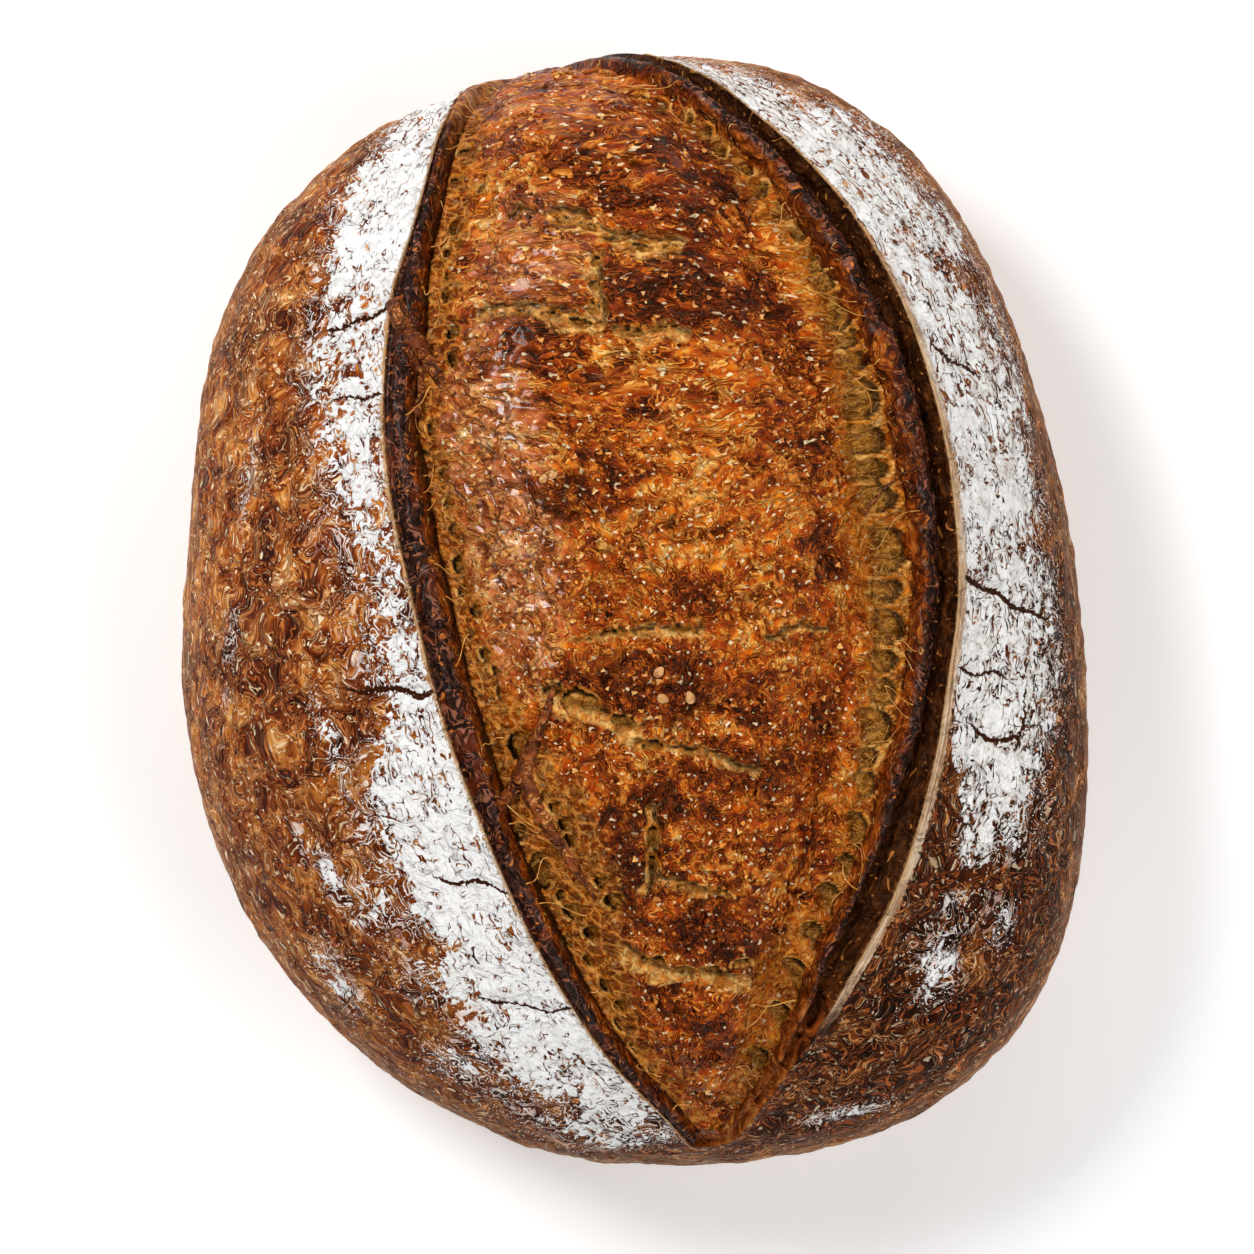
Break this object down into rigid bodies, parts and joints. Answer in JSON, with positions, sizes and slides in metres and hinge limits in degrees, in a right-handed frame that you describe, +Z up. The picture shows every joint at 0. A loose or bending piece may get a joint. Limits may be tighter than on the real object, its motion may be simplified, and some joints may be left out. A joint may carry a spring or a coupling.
{
  "type": "sourdough loaf",
  "caption": "Whole oval sourdough loaf with a long opened score, raised burnt lips, a blistered belly and a flat base.",
  "frame": {"origin": "middle of the flat base, on the surface the loaf rests on", "axes": "+X to the right of the loaf seen from above, +Y along its length to the upper end, +Z up"},
  "size_m": [0.2198, 0.2698, 0.1074],
  "materials": {
    "crust": "baked crust, dry and mottled, dusted with flour beside the score"
  },
  "bodies": {
    "root": {"loaf": "crust"}
  },
  "joints": []
}
